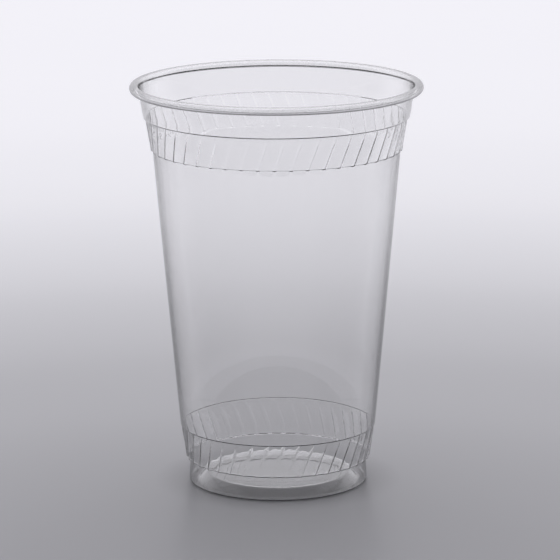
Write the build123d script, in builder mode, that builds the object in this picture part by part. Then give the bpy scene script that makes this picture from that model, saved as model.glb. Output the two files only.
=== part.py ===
from build123d import *
import os
from math import asin, cos, degrees, radians, sin, sqrt, tan

# Clear disposable cup for cold drinks, thermoformed in one piece from plastic sheet.
# Millimetres. +Z is up. The origin is the centre of the foot, on the surface the cup stands on.
# The sheet has the same thickness all over, so the inside follows the outside.

# ---- sheet ----
wall = 0.3
ledge_round = wall + 0.1  # outside corner of a ledge, whose inside corner is one sheet tighter

# ---- heights, one above the other ----
foot_height = 8.2  # table to the underside of the low ribbed band
low_band_height = 11.3
body_height = 94.1  # plain tapered wall between the two bands
top_band_height = 11.3
collar_height = 9.6  # top ledge to the middle of the rim roll

# ---- foot and raised base ----
foot_lean = 0.45  # how much the foot narrows from the table up
foot_round = 0.9
ring_width = 3.6  # the flat ring that the cup stands on
base_rise = 3.0
base_lean = 2.6  # how far the step from the ring to the raised base leans inwards
base_round = 1.4

# ---- steps outwards, each above the part below ----
foot_step = 0.95  # foot to the low band's panels
low_step = 0.5
middle_step = 0.25
top_step = 1.1

# ---- tapers from the vertical, in degrees ----
band_draft = 9.0
body_draft = 5.12
collar_draft = 8.5

# ---- slanted ribs ----
low_rib_count = 40
top_rib_count = 48
rib_width = 1.25
rib_height = 0.35
rib_slant = 19.0  # from the vertical, in degrees
low_first_rib = -90.3  # direction of a rib at half its band's height, in degrees from +X
top_first_rib = -88.5
rib_slices = 5  # sections that each band is lofted through

# ---- rolled rim ----
rim_diameter = 98.0  # the widest size of the cup, from which its other widths follow downwards
roll_height = 2.6
roll_flat = 0.7  # level stretch on top of the roll, between its inner and its outer bend
roll_sweep = 150.0  # how far the roll turns in, from its outermost point round to its free edge

# ---- levels ----
low_ledge = foot_height + low_band_height
middle_ledge = low_ledge + body_height
top_ledge = middle_ledge + top_band_height
roll_middle = top_ledge + collar_height
roll_radius = roll_height / 2
collar_top = roll_middle - roll_height

# ---- outside radii, from the rim down ----
outer_bend_radius = rim_diameter / 2 - roll_radius
inner_bend_radius = outer_bend_radius - roll_flat
collar_lean = tan(radians(collar_draft))
mouth_side = inner_bend_radius - roll_radius / cos(radians(collar_draft))  # at the roll's middle
collar_top_radius = mouth_side - roll_height * collar_lean + wall / cos(radians(collar_draft))
collar_bottom_radius = collar_top_radius - (collar_top - top_ledge) * collar_lean
band_lean = tan(radians(band_draft))
top_band_radius = collar_bottom_radius - top_step - top_band_height * band_lean
body_top_radius = top_band_radius - middle_step
body_bottom_radius = body_top_radius - body_height * tan(radians(body_draft))
low_band_radius = body_bottom_radius - low_step - low_band_height * band_lean
foot_top_radius = low_band_radius - foot_step
foot_radius = foot_top_radius + foot_lean


def along(radius, direction):
    """Point at a radius and a direction in degrees, in the current sketch plane."""
    return (radius * cos(radians(direction)), radius * sin(radians(direction)))


def ribbed_section(level, radius, count, width, first_rib):
    """One level of a ribbed band: flat panels round the cup, with a round rib between each two."""
    half_rib = degrees(asin(width / 2 / radius))
    crown = radius * cos(radians(half_rib)) + rib_height
    with BuildSketch(Plane.XY.offset(level)) as section:
        with BuildLine():
            for number in range(count):
                middle = first_rib + 360 * number / count
                rib_end = along(radius, middle + half_rib)
                next_rib = along(radius, middle + 360 / count - half_rib)
                ThreePointArc(along(radius, middle - half_rib), along(crown, middle), rib_end)
                Line(rib_end, next_rib)
        make_face()
    return section.sketch


def ribbed_band(bottom, height, radius, count, first_rib, inset):
    """The levels that a ribbed band is lofted through, up its taper and with its ribs' slant.

    The sheet's outside has no inset. Its inside is one sheet further in, and starts one sheet
    higher, on the ledge. Both run into the plain wall above, so that nothing is left between.
    """
    rib_round = (rib_width**2 / 4 + rib_height**2) / (2 * rib_height)
    width = 2 * sqrt((rib_round - inset) ** 2 - (rib_round - rib_height - inset) ** 2)
    turn_per_mm = degrees(tan(radians(rib_slant)) / (radius + band_lean * height / 2))
    levels = []
    for slice_number in range(rib_slices):
        climb = inset + (height + wall / 2) * slice_number / (rib_slices - 1)
        section_radius = radius + climb * band_lean - inset / cos(radians(band_draft))
        turn = first_rib + (climb - height / 2) * turn_per_mm
        levels.append(ribbed_section(bottom + climb, section_radius, count, width, turn))
    return levels


def low_band(inset):
    """The low band's levels, on the foot."""
    return ribbed_band(
        foot_height, low_band_height, low_band_radius, low_rib_count, low_first_rib, inset
    )


def top_band(inset):
    """The top band's levels, on the body's wall."""
    return ribbed_band(
        middle_ledge, top_band_height, top_band_radius, top_rib_count, top_first_rib, inset
    )


def roll_side(inset):
    """One side of the rim's sheet, from the collar round the roll to its free edge.

    The sheet's mouth side has no inset, and the side within the roll is one sheet in from it.
    """
    bend = roll_radius - inset
    draft = radians(collar_draft)
    foot_of_side = (collar_top_radius - (wall - inset) / cos(draft), collar_top)
    inner_bend = CenterArc(
        (inner_bend_radius, roll_middle), bend, 180 - collar_draft, collar_draft - 90
    )
    outer_bend = CenterArc((outer_bend_radius, roll_middle), bend, 90, -90 - roll_sweep)
    Line(foot_of_side, inner_bend @ 0)
    Line(inner_bend @ 1, outer_bend @ 0)
    return foot_of_side, outer_bend @ 1


with BuildPart() as cup:
    # The outside of the plain parts, from the raised base to just under the rim roll. Behind each
    # ribbed band it stays inside the band, which is added below.
    with BuildSketch(Plane.XZ):
        with BuildLine():
            outside = FilletPolyline(
                (0, base_rise),
                (foot_radius - ring_width - base_lean, base_rise),
                (foot_radius - ring_width, 0),
                (foot_radius, 0),
                (foot_top_radius, foot_height),
                (foot_top_radius, low_ledge),
                (body_bottom_radius, low_ledge),
                (body_top_radius, middle_ledge),
                (body_top_radius, top_ledge),
                (collar_bottom_radius, top_ledge),
                (collar_top_radius, collar_top),
                radius=[base_round, base_round, foot_round, 0, 0, ledge_round, 0, 0, ledge_round],
            )
            Line(outside @ 1, (0, collar_top))
            Line((0, collar_top), outside @ 0)
        make_face()
    revolve(axis=Axis.Z)
    loft(low_band(0))
    loft(top_band(0))

    # The space inside, one sheet in from the same outline.
    with BuildSketch(Plane.XZ):
        with BuildLine():
            inside = offset(outside, wall, kind=Kind.INTERSECTION, side=Side.LEFT, closed=False)
            collar_end = inside.vertices().sort_by(Axis.Y)[-1]
            base_middle = inside.vertices().sort_by(Axis.X)[0]
            Polyline(collar_end, (0, collar_end.Y), base_middle)
        make_face()
    revolve(axis=Axis.Z, mode=Mode.SUBTRACT)
    loft(low_band(wall), mode=Mode.SUBTRACT)
    loft(top_band(wall), mode=Mode.SUBTRACT)

    # The rim roll, a flattened curl that turns outwards and back to the collar.
    with BuildSketch(Plane.XZ):
        with BuildLine():
            mouth_start, mouth_end = roll_side(0)
            inner_start, inner_end = roll_side(wall)
            Line(mouth_start, inner_start)
            Line(mouth_end, inner_end)
        make_face()
    revolve(axis=Axis.Z)

cup.part.label = "cup"
os.makedirs("parts", exist_ok=True)
export_step(cup.part, "parts/cup.step")
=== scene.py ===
import math

import bpy
import numpy as np
from mathutils import Matrix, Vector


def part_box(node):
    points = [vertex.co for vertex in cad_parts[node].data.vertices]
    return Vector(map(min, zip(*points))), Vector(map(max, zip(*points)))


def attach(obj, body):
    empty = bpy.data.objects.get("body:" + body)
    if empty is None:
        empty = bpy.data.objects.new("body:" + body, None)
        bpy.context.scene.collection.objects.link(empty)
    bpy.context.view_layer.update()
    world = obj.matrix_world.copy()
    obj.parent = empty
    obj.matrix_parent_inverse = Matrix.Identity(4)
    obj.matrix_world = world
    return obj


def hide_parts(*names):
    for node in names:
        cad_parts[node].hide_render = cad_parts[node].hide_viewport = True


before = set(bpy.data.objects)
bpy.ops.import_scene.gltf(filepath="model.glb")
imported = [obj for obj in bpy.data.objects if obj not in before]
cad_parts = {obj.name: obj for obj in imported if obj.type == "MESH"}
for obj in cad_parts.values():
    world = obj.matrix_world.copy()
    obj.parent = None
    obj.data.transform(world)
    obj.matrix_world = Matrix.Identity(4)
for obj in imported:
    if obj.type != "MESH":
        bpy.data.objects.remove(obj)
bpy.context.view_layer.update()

MM = 0.001
low_corner, high_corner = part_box("cup")

# ---- the cup, in metres, as the CAD has it ----
WALL = 0.3 * MM
RIM_RADIUS = min(-low_corner.x, high_corner.x)
TOP = high_corner.z
ROLL_RADIUS = 1.3 * MM
ROLL_FLAT = 0.7 * MM
ROLL_SWEEP = math.radians(150)
COLLAR_HEIGHT = 9.6 * MM
TOP_BAND_HEIGHT = 11.3 * MM
LOW_BAND_HEIGHT = 11.3 * MM
FOOT_HEIGHT = 8.2 * MM
COLLAR_DRAFT = math.radians(8.5)
BAND_TAPER = math.tan(math.radians(9.0))
BODY_TAPER = math.tan(math.radians(5.12))
TOP_STEP = 1.1 * MM
MIDDLE_STEP = 0.25 * MM
LOW_STEP = 0.5 * MM
FOOT_STEP = 0.95 * MM
FOOT_LEAN = 0.45 * MM
RING_WIDTH = 3.6 * MM
BASE_LEAN = 2.6 * MM
BASE_RISE = 3.0 * MM

ROLL_MIDDLE = TOP - ROLL_RADIUS
TOP_LEDGE = ROLL_MIDDLE - COLLAR_HEIGHT
MIDDLE_LEDGE = TOP_LEDGE - TOP_BAND_HEIGHT
LOW_LEDGE = FOOT_HEIGHT + LOW_BAND_HEIGHT

OUTER_BEND = RIM_RADIUS - ROLL_RADIUS
INNER_BEND = OUTER_BEND - ROLL_FLAT
COLLAR_TOP = INNER_BEND - (ROLL_RADIUS - WALL) / math.cos(COLLAR_DRAFT)
COLLAR_BOTTOM = COLLAR_TOP - COLLAR_HEIGHT * math.tan(COLLAR_DRAFT)
TOP_BAND_TOP = COLLAR_BOTTOM - TOP_STEP
TOP_BAND_RADIUS = TOP_BAND_TOP - TOP_BAND_HEIGHT * BAND_TAPER
BODY_TOP = TOP_BAND_RADIUS - MIDDLE_STEP
BODY_BOTTOM = BODY_TOP - (MIDDLE_LEDGE - LOW_LEDGE) * BODY_TAPER
LOW_BAND_TOP = BODY_BOTTOM - LOW_STEP
LOW_BAND_RADIUS = LOW_BAND_TOP - LOW_BAND_HEIGHT * BAND_TAPER
FOOT_TOP_RADIUS = LOW_BAND_RADIUS - FOOT_STEP
FOOT_RADIUS = FOOT_TOP_RADIUS + FOOT_LEAN
RING_INSIDE = FOOT_RADIUS - RING_WIDTH
BASE_RADIUS = RING_INSIDE - BASE_LEAN

# ---- ribs ----
RIB_HEIGHT = 0.35 * MM
RIB_HALF_WIDTH = 0.85 * MM
RIB_SLANT = math.tan(math.radians(19.0))
RIB_FADE = 0.8 * MM  # how far below its band's top ledge a rib starts to fade
LOW_RIBS = 40
TOP_RIBS = 48
LOW_FIRST_RIB = -90.3  # direction at half the band's height, in degrees from +X
TOP_FIRST_RIB = -88.5
COLUMNS = 480  # round the cup: 12 for each low rib, 10 for each top rib
RIB_STEPS = np.linspace(-1, 1, 9)

# ---- corners of the sheet: outside radius where it turns out, and where it turns in ----
OUTER_ROUND = WALL + 0.1 * MM
INNER_ROUND = 0.12 * MM
FOOT_ROUND = 0.9 * MM
BASE_ROUND = 1.4 * MM
SLOPE_HEIGHT = 0.4 * MM  # the middle ledge is a short slope
ARC_STEP = 22  # the most degrees that one step of a corner turns
CENTRE_HOLE = 2 * MM  # radius that the base's centre fan closes
CURL_POINTS = (7, 18)  # up the collar's side of the roll, and from its top to its free edge
SLACK = 0.01 * MM  # lets a row that lies on a ledge count as part of its band

# ---- the plastic ----
PLASTIC_IOR = 1.57
CLEAR = 0.975
# Colour of the upright sheet, from 0 where it faces the view to 1 at its outline: painted shade that
# darkens the sheet towards its outline.
GRAZING_SHADE_STOPS = [
    (0.0, CLEAR), (0.45, 0.96), (0.6, 0.84), (0.7, 0.62), (0.78, 0.28), (0.85, 0.08), (1.0, 0.0),
]
# How much of that painted shade the upright sheet has, by height as a share of the cup's: all of it in
# the lower wall and less in the upper wall. The level sheet of the base and the ledges has none, and
# the rim's roll has all of it.
EDGE_SHADE_STOPS = [(0.0, 1.0), (0.3, 1.0), (0.5, 0.9), (0.75, 0.65), (1.0, 0.65)]
UPRIGHT_SHADE_STOPS = [(0.0, 1.0), (0.35, 1.0), (0.75, 0.0), (1.0, 0.0)]
RIM_SHADE_STOPS = [(0.0, 0.0), (0.965, 0.0), (0.975, 1.0), (1.0, 1.0)]
WAVE_SCALE = 90
WAVE_STRENGTH = 0.25
WAVE_DEPTH = 0.03 * MM
HAZE_START = 0.45  # the haze comes in where the waves stand higher than this
MOST_HAZE = 0.03
PASSING_TINT = (0.97, 0.975, 0.98, 1)

# ---- the studio ----
COOL = (0.985, 0.975, 1.03)  # its slightly blue white
FLOOR_HALF = 6.0
FLOOR_COLOUR = (0.40, 0.40, 0.42, 1)
FLOOR_ROUGHNESS = 0.35
SHADE_POOL_MIDDLE = (0, -0.12, 0)  # the painted shade pool on the floor is darkest here, a little in front of the cup
# The floor's painted light, by the distance from there in metres.
PAINTED_LIGHT_STOPS = [
    (0.0, 0.05), (0.1, 0.06), (0.2, 0.12), (0.3, 0.17), (0.42, 0.3), (0.57, 0.45), (0.75, 0.52),
    (0.9, 0.54),
]
# Painted shadow under the cup: the floor's painted light fades out towards the cup's axis.
PAINTED_SHADOW_INNER = FOOT_RADIUS - 3 * MM  # the floor has no paleness this near to the cup's axis,
PAINTED_SHADOW_OUTER = FOOT_RADIUS + 12 * MM  # and all of it from here on
# The light that the floor gets: an even room, and a window by how far a direction points
# backwards and by how high it points.
ROOM_STRENGTH = 0.3
LAMP_STRENGTH = 0.9
BACKWARD_STOPS = [(0.0, 0.0), (0.55, 0.0), (0.85, 1.0), (1.0, 1.0)]
UPWARD_STOPS = [(0.0, 1.0), (0.55, 1.0), (0.75, 0.0), (1.0, 0.0)]
# The backdrop that is seen: how much pointing up counts beside pointing backwards, then what
# brings their sum to a place on the ramp.
BACKDROP_RISE = 0.75
BACKDROP_SCALE = 0.4
BACKDROP_SHIFT = 0.4
BACKDROP_STOPS = [(0.0, 0.03), (0.4, 0.03), (0.62, 0.9), (0.8, 1.0), (1.0, 1.0)]

# ---- the camera, in metres, degrees and, for the lens and sensor, millimetres ----
CAMERA_PLACE = (0, -1.212, 0.3428)
CAMERA_PITCH = -12.745
CAMERA_YAW = -0.0435
CAMERA_ROLL = -0.245
LENS = 237.8
SENSOR = 36
CLIP_END = 50


def rounded(corners):
    """Points along a polyline of (radius, height, corner radius, steps to the next corner)."""
    points = [np.array(corners[0][:2])]
    for i in range(1, len(corners)):
        here = np.array(corners[i][:2])
        before = np.array(corners[i - 1][:2])
        steps = corners[i - 1][3]
        arc = []
        end = here
        if i < len(corners) - 1 and corners[i][2] > 0:
            after = np.array(corners[i + 1][:2])
            way_in = (here - before) / np.linalg.norm(here - before)
            way_out = (after - here) / np.linalg.norm(after - here)
            turn = math.acos(np.clip(way_in @ way_out, -1, 1))
            reach = corners[i][2] * math.tan(turn / 2)
            end = here - way_in * reach
            side = way_out - way_in
            centre = here + side / np.linalg.norm(side) * corners[i][2] / math.cos(turn / 2)
            count = max(2, math.ceil(math.degrees(turn) / ARC_STEP))
            for step in range(1, count + 1):
                share = step / count
                spoke = (end - centre) * math.sin((1 - share) * turn)
                spoke += (here + way_out * reach - centre) * math.sin(share * turn)
                arc.append(centre + spoke / math.sin(turn))
        start = points[-1]
        for step in range(1, steps + 1):
            points.append(start + (end - start) * step / steps)
        points += arc
    return points


def curl():
    """The underside of the rim's roll, from the collar round to its free edge."""
    radius = ROLL_RADIUS - WALL
    first, second = CURL_POINTS
    points = []
    for angle in np.linspace(math.pi - COLLAR_DRAFT, math.pi / 2, first):
        points.append((INNER_BEND + radius * math.cos(angle), ROLL_MIDDLE + radius * math.sin(angle)))
    for angle in np.linspace(math.pi / 2, -ROLL_SWEEP, second):
        points.append((OUTER_BEND + radius * math.cos(angle), ROLL_MIDDLE + radius * math.sin(angle)))
    return [np.array(p) for p in points]


def side_profile():
    """The sheet's outside, as (radius, height) rows from beside the base's centre to the rim."""
    roll = curl()
    corners = [
        (CENTRE_HOLE, BASE_RISE, 0, 3),
        (BASE_RADIUS, BASE_RISE, BASE_ROUND, 1),
        (RING_INSIDE, 0, BASE_ROUND, 2),
        (FOOT_RADIUS, 0, FOOT_ROUND, 2),
        (FOOT_TOP_RADIUS, FOOT_HEIGHT, INNER_ROUND, 2),
        (LOW_BAND_RADIUS, FOOT_HEIGHT, OUTER_ROUND, 5),
        (LOW_BAND_TOP, LOW_LEDGE, INNER_ROUND, 1),
        (BODY_BOTTOM, LOW_LEDGE, OUTER_ROUND, 5),
        (BODY_TOP, MIDDLE_LEDGE, INNER_ROUND, 3),
        (TOP_BAND_RADIUS + SLOPE_HEIGHT * BAND_TAPER, MIDDLE_LEDGE + SLOPE_HEIGHT, OUTER_ROUND, 6),
        (TOP_BAND_TOP, TOP_LEDGE, INNER_ROUND, 2),
        (COLLAR_BOTTOM, TOP_LEDGE, OUTER_ROUND, 4),
        (roll[0][0], roll[0][1], 0, 1),
    ]
    return np.array(rounded(corners) + roll[1:])


def smooth_step(value):
    """Rises smoothly from 0 to 1 as the value does."""
    value = np.clip(value, 0, 1)
    return value * value * (3 - 2 * value)


def band_strength(radius, height, bottom, top, bottom_radius, inside_radius):
    """How fully the ribs stand at a row: none off the band, all of it between its ledges."""
    if height < bottom - SLACK or height > top + SLACK:
        return 0.0
    along_ledge = smooth_step((radius - inside_radius) / (bottom_radius - inside_radius))
    below_top = smooth_step((top - height) / RIB_FADE)
    return float(along_ledge * below_top)


def rib_columns(count, radius, first_rib):
    """Each column's direction in radians at half its band's height, its rise on a rib from 0 to 1,
    and its flat panel's inward dip as a share of the radius."""
    pitch = 2 * math.pi / count
    half = RIB_HALF_WIDTH / radius
    per_rib = COLUMNS // count
    panel = np.linspace(half, pitch - half, per_rib - len(RIB_STEPS) + 2)[1:-1]
    sub = np.concatenate([RIB_STEPS * half, panel])
    rise = np.concatenate([(1 - RIB_STEPS**2) ** 2, np.zeros(len(panel))])
    dip = np.zeros(per_rib)
    dip[len(RIB_STEPS):] = math.cos(pitch / 2 - half) / np.cos(panel - pitch / 2) - 1
    directions = math.radians(first_rib) + np.add.outer(np.arange(count) * pitch, sub).ravel()
    return directions, np.tile(rise, count), np.tile(dip, count)


def cup_sheet():
    """The sheet's outside as a grid of points, one row for each step up the profile."""
    profile = side_profile()
    low_mean = LOW_BAND_RADIUS + LOW_BAND_HEIGHT * BAND_TAPER / 2
    top_mean = TOP_BAND_RADIUS + TOP_BAND_HEIGHT * BAND_TAPER / 2
    low_way, low_rise, low_dip = rib_columns(LOW_RIBS, low_mean, LOW_FIRST_RIB)
    top_way, top_rise, top_dip = rib_columns(TOP_RIBS, top_mean, TOP_FIRST_RIB)
    rows = []
    for radius, height in profile:
        low_climb = np.clip(height - FOOT_HEIGHT, 0, LOW_BAND_HEIGHT) - LOW_BAND_HEIGHT / 2
        top_climb = np.clip(height - MIDDLE_LEDGE, 0, TOP_BAND_HEIGHT) - TOP_BAND_HEIGHT / 2
        share = smooth_step((height - LOW_LEDGE) / (MIDDLE_LEDGE - LOW_LEDGE))
        way = (1 - share) * (low_way + low_climb * RIB_SLANT / low_mean)
        way += share * (top_way + top_climb * RIB_SLANT / top_mean)
        low = band_strength(radius, height, FOOT_HEIGHT, LOW_LEDGE, LOW_BAND_RADIUS, FOOT_TOP_RADIUS)
        top = band_strength(radius, height, MIDDLE_LEDGE, TOP_LEDGE, TOP_BAND_RADIUS, BODY_TOP)
        reach = radius * (1 + low * low_dip + top * top_dip)
        reach = reach + RIB_HEIGHT * (low * low_rise + top * top_rise)
        rows.append(np.stack([reach * np.cos(way), reach * np.sin(way), np.full(COLUMNS, height)], -1))
    return np.array(rows)


def grid_normals(grid):
    """Outward unit normals at a grid's points, from the faces round each."""
    across = np.roll(grid, -1, 1) - grid
    up = np.zeros_like(grid)
    up[:-1] = grid[1:] - grid[:-1]
    faces = np.cross(across[:-1], up[:-1])
    faces += np.cross(across[1:], up[:-1])
    faces /= np.linalg.norm(faces, axis=-1, keepdims=True)
    faces = faces + np.roll(faces, 1, 1)
    normals = np.zeros_like(grid)
    normals[:-1] += faces
    normals[1:] += faces
    return normals / np.linalg.norm(normals, axis=-1, keepdims=True)


def make_cup():
    """The closed sheet: its outside, its inside one wall further in, and the edge between them."""
    outside = cup_sheet()
    inside = outside - grid_normals(outside) * WALL
    row_count = len(outside)
    vertices = [outside.reshape(-1, 3), inside.reshape(-1, 3)]
    vertices.append(np.array([(0, 0, BASE_RISE), (0, 0, BASE_RISE + WALL)]))
    vertices = np.concatenate(vertices)
    under_middle = len(vertices) - 2
    upper_middle = len(vertices) - 1
    second = row_count * COLUMNS
    column = np.arange(COLUMNS)
    beside = (column + 1) % COLUMNS
    faces = []
    for row in range(row_count - 1):
        here, above = row * COLUMNS, (row + 1) * COLUMNS
        quads = np.stack([here + column, here + beside, above + beside, above + column], -1)
        faces += quads.tolist()
        faces += (second + quads[:, ::-1]).tolist()
    last = (row_count - 1) * COLUMNS
    edge = np.stack([last + column, last + beside, second + last + beside, second + last + column], -1)
    faces += edge.tolist()
    middle = np.full(COLUMNS, under_middle)
    faces += np.stack([middle, beside, column], -1).tolist()
    middle = np.full(COLUMNS, upper_middle)
    faces += np.stack([middle, second + column, second + beside], -1).tolist()
    mesh = bpy.data.meshes.new("clear_cup")
    mesh.from_pydata(vertices.tolist(), [], faces)
    mesh.shade_smooth()
    mesh.validate()
    piece = bpy.data.objects.new("clear_cup", mesh)
    bpy.context.scene.collection.objects.link(piece)
    return piece


def new_material(name):
    """An empty node material. Returns it with its nodes and its links."""
    material = bpy.data.materials.new(name)
    material.use_nodes = True
    nodes = material.node_tree.nodes
    nodes.clear()
    return material, nodes, material.node_tree.links


def finish_material(nodes, links, shader):
    """Links the last shader to the material's output."""
    output = nodes.new("ShaderNodeOutputMaterial")
    links.new(shader, output.inputs["Surface"])


def math_node(nodes, links, operation, *values):
    """A Math node whose inputs are sockets or plain numbers. Returns its output."""
    node = nodes.new("ShaderNodeMath")
    node.operation = operation
    for place, value in enumerate(values):
        if isinstance(value, (int, float)):
            node.inputs[place].default_value = value
        else:
            links.new(value, node.inputs[place])
    return node.outputs[0]


def ramp_node(nodes, links, factor, stops, kind="LINEAR", tint=(1, 1, 1)):
    """A Color Ramp with these (position, grey) stops, times a tint. Returns its colour output."""
    node = nodes.new("ShaderNodeValToRGB")
    node.color_ramp.interpolation = kind
    elements = node.color_ramp.elements
    while len(elements) < len(stops):
        elements.new(0.5)
    for element, (position, grey) in zip(elements, stops):
        element.position = position
        element.color = (grey * tint[0], grey * tint[1], grey * tint[2], 1)
    links.new(factor, node.inputs["Fac"])
    return node.outputs["Color"]


def axis_part(nodes, links, vector, axis):
    """One of a vector's three numbers."""
    node = nodes.new("ShaderNodeSeparateXYZ")
    links.new(vector, node.inputs[0])
    return node.outputs[axis]


def seen_directly(nodes, links):
    """1 for what the camera sees, straight or by gloss or through the plastic, and 0 for light."""
    path = nodes.new("ShaderNodeLightPath")
    mirrored = math_node(
        nodes, links, "MAXIMUM", path.outputs["Is Glossy Ray"], path.outputs["Is Transmission Ray"]
    )
    return math_node(nodes, links, "MAXIMUM", path.outputs["Is Camera Ray"], mirrored)


def sheet_colour_and_painted_shade(nodes, links, place):
    """Clear, with painted shade that darkens the upright sheet and the roll where they are seen at a
    grazing angle.
    """
    facing = nodes.new("ShaderNodeLayerWeight")
    facing.inputs["Blend"].default_value = 0.5
    grazing = ramp_node(nodes, links, facing.outputs["Facing"], GRAZING_SHADE_STOPS)
    height = axis_part(nodes, links, place, "Z")
    share = math_node(nodes, links, "DIVIDE", height, TOP)
    surface = nodes.new("ShaderNodeNewGeometry")
    slope = axis_part(nodes, links, surface.outputs["Normal"], "Z")
    level = math_node(nodes, links, "ABSOLUTE", slope)
    upright = ramp_node(nodes, links, level, UPRIGHT_SHADE_STOPS)
    shade_by_height = ramp_node(nodes, links, share, EDGE_SHADE_STOPS)
    wall_shade = math_node(nodes, links, "MULTIPLY", shade_by_height, upright)
    rim_shade = ramp_node(nodes, links, share, RIM_SHADE_STOPS)
    # Painted shade: the clear colour is mixed towards the darker grazing colour near the sheet's
    # outline.
    edge = nodes.new("ShaderNodeMix")
    edge.data_type = "RGBA"
    links.new(math_node(nodes, links, "MAXIMUM", wall_shade, rim_shade), edge.inputs["Factor"])
    edge.inputs["A"].default_value = (CLEAR, CLEAR, CLEAR, 1)
    links.new(grazing, edge.inputs["B"])
    return edge.outputs["Result"]


def sheet_waves(nodes, links, place, plastic):
    """The formed sheet's faint waves, and a slight haze that comes and goes with them."""
    waves = nodes.new("ShaderNodeTexNoise")
    waves.inputs["Scale"].default_value = WAVE_SCALE
    waves.inputs["Detail"].default_value = 2
    links.new(place, waves.inputs["Vector"])
    bump = nodes.new("ShaderNodeBump")
    bump.inputs["Strength"].default_value = WAVE_STRENGTH
    bump.inputs["Distance"].default_value = WAVE_DEPTH
    links.new(waves.outputs["Fac"], bump.inputs["Height"])
    links.new(bump.outputs["Normal"], plastic.inputs["Normal"])
    haze = nodes.new("ShaderNodeMapRange")
    haze.inputs["From Min"].default_value = HAZE_START
    haze.inputs["To Max"].default_value = MOST_HAZE
    links.new(waves.outputs["Fac"], haze.inputs["Value"])
    links.new(haze.outputs["Result"], plastic.inputs["Roughness"])


def passing_light(nodes, links):
    """What shadow and diffuse rays meet: a clear filter that is darker at grazing angles."""
    fresnel = nodes.new("ShaderNodeFresnel")
    fresnel.inputs["IOR"].default_value = PLASTIC_IOR
    tint = nodes.new("ShaderNodeMix")
    tint.data_type = "RGBA"
    tint.inputs["A"].default_value = PASSING_TINT
    tint.inputs["B"].default_value = (0, 0, 0, 1)
    links.new(fresnel.outputs["Fac"], tint.inputs["Factor"])
    filter_shader = nodes.new("ShaderNodeBsdfTransparent")
    links.new(tint.outputs["Result"], filter_shader.inputs["Color"])
    return filter_shader.outputs[0]


def clear_plastic():
    """Clear glossy sheet, a little wavy. Shadow and diffuse rays go straight through it."""
    material, nodes, links = new_material("clear_plastic")
    plastic = nodes.new("ShaderNodeBsdfPrincipled")
    plastic.inputs["Transmission Weight"].default_value = 1
    plastic.inputs["IOR"].default_value = PLASTIC_IOR
    place = nodes.new("ShaderNodeTexCoord").outputs["Object"]
    links.new(sheet_colour_and_painted_shade(nodes, links, place), plastic.inputs["Base Color"])
    sheet_waves(nodes, links, place, plastic)
    passing = passing_light(nodes, links)
    path = nodes.new("ShaderNodeLightPath")
    shader = plastic.outputs[0]
    for ray in ("Is Shadow Ray", "Is Diffuse Ray"):
        choice = nodes.new("ShaderNodeMixShader")
        links.new(path.outputs[ray], choice.inputs[0])
        links.new(shader, choice.inputs[1])
        links.new(passing, choice.inputs[2])
        shader = choice.outputs[0]
    finish_material(nodes, links, shader)
    return material


def painted_floor_light(nodes, links):
    """The floor's painted light, which is seen but lights nothing: a painted shadow with none of it
    under the cup, and more of it beyond.
    """
    place = nodes.new("ShaderNodeNewGeometry").outputs["Position"]
    away = nodes.new("ShaderNodeVectorMath")
    away.operation = "DISTANCE"
    links.new(place, away.inputs[0])
    away.inputs[1].default_value = SHADE_POOL_MIDDLE
    painted_light_colour = ramp_node(nodes, links, away.outputs["Value"], PAINTED_LIGHT_STOPS, "CARDINAL", COOL)
    from_cup = nodes.new("ShaderNodeVectorMath")
    from_cup.operation = "LENGTH"
    links.new(place, from_cup.inputs[0])
    # Painted shadow under the cup: the painted floor light is taken away near the cup's axis.
    outside_painted_shadow = nodes.new("ShaderNodeMapRange")
    outside_painted_shadow.inputs["From Min"].default_value = PAINTED_SHADOW_INNER
    outside_painted_shadow.inputs["From Max"].default_value = PAINTED_SHADOW_OUTER
    links.new(from_cup.outputs["Value"], outside_painted_shadow.inputs["Value"])
    seen = seen_directly(nodes, links)
    strength = math_node(nodes, links, "MULTIPLY", seen, outside_painted_shadow.outputs["Result"])
    painted_glow = nodes.new("ShaderNodeEmission")
    links.new(painted_light_colour, painted_glow.inputs["Color"])
    links.new(strength, painted_glow.inputs["Strength"])
    return painted_glow.outputs[0]


def make_floor():
    """Pale satin floor with painted light: a painted shade pool darkest round the cup, and paler away
    from it.
    """
    mesh = bpy.data.meshes.new("floor")
    half = FLOOR_HALF
    corners = [(-half, -half, 0), (half, -half, 0), (half, half, 0), (-half, half, 0)]
    mesh.from_pydata(corners, [], [(0, 1, 2, 3)])
    floor = bpy.data.objects.new("floor", mesh)
    bpy.context.scene.collection.objects.link(floor)
    material, nodes, links = new_material("floor_satin")
    satin = nodes.new("ShaderNodeBsdfPrincipled")
    satin.inputs["Base Color"].default_value = FLOOR_COLOUR
    satin.inputs["Roughness"].default_value = FLOOR_ROUGHNESS
    satin.inputs["Specular IOR Level"].default_value = 0.5
    both = nodes.new("ShaderNodeAddShader")
    links.new(satin.outputs[0], both.inputs[0])
    links.new(painted_floor_light(nodes, links), both.inputs[1])
    finish_material(nodes, links, both.outputs[0])
    mesh.materials.append(material)


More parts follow.
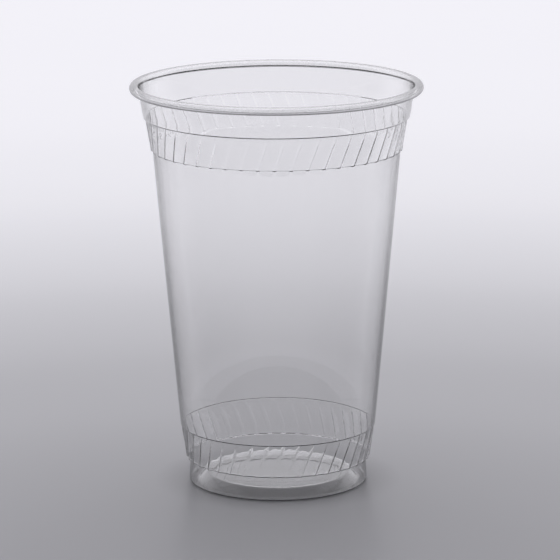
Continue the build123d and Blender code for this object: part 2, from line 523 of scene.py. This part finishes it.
def light_scene():
    """Soft studio light: an even room, and a wide window low behind the cup.

    The camera, gloss and clear plastic see a bright backdrop behind and above the cup instead,
    and a dark room towards the camera.
    """
    world = bpy.data.worlds.new("studio")
    world.use_nodes = True
    nodes, links = world.node_tree.nodes, world.node_tree.links
    way = nodes.new("ShaderNodeTexCoord").outputs["Generated"]
    backward = axis_part(nodes, links, way, "Y")
    upward = axis_part(nodes, links, way, "Z")
    across = ramp_node(nodes, links, backward, BACKWARD_STOPS, "EASE")
    low = ramp_node(nodes, links, upward, UPWARD_STOPS, "EASE")
    window = math_node(nodes, links, "MULTIPLY", across, low)
    cast = math_node(nodes, links, "MULTIPLY_ADD", window, LAMP_STRENGTH, ROOM_STRENGTH)
    behind = math_node(nodes, links, "MULTIPLY_ADD", upward, BACKDROP_RISE, backward)
    share = math_node(nodes, links, "MULTIPLY_ADD", behind, BACKDROP_SCALE, BACKDROP_SHIFT)
    backdrop = ramp_node(nodes, links, share, BACKDROP_STOPS, "EASE")
    light = nodes.new("ShaderNodeMix")
    links.new(seen_directly(nodes, links), light.inputs["Factor"])
    links.new(cast, light.inputs["A"])
    links.new(backdrop, light.inputs["B"])
    background = nodes["Background"]
    background.inputs["Color"].default_value = (*COOL, 1)
    links.new(light.outputs["Result"], background.inputs["Strength"])
    bpy.context.scene.world = world


def place_camera():
    """A long lens in front of the cup, looking a little down on it."""
    camera = bpy.data.cameras.new("camera")
    camera.sensor_width = SENSOR
    camera.lens = LENS
    camera.clip_end = CLIP_END
    holder = bpy.data.objects.new("camera", camera)
    yaw = Matrix.Rotation(math.radians(CAMERA_YAW), 4, "Z")
    pitch = Matrix.Rotation(math.radians(90 + CAMERA_PITCH), 4, "X")
    roll = Matrix.Rotation(math.radians(CAMERA_ROLL), 4, "Z")
    holder.matrix_world = Matrix.Translation(CAMERA_PLACE) @ yaw @ pitch @ roll
    bpy.context.scene.collection.objects.link(holder)
    bpy.context.scene.camera = holder


place_camera()
light_scene()
make_floor()
cup = make_cup()
cup.data.materials.append(clear_plastic())
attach(cup, "root")
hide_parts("cup")
bpy.context.scene.view_settings.view_transform = "Standard"
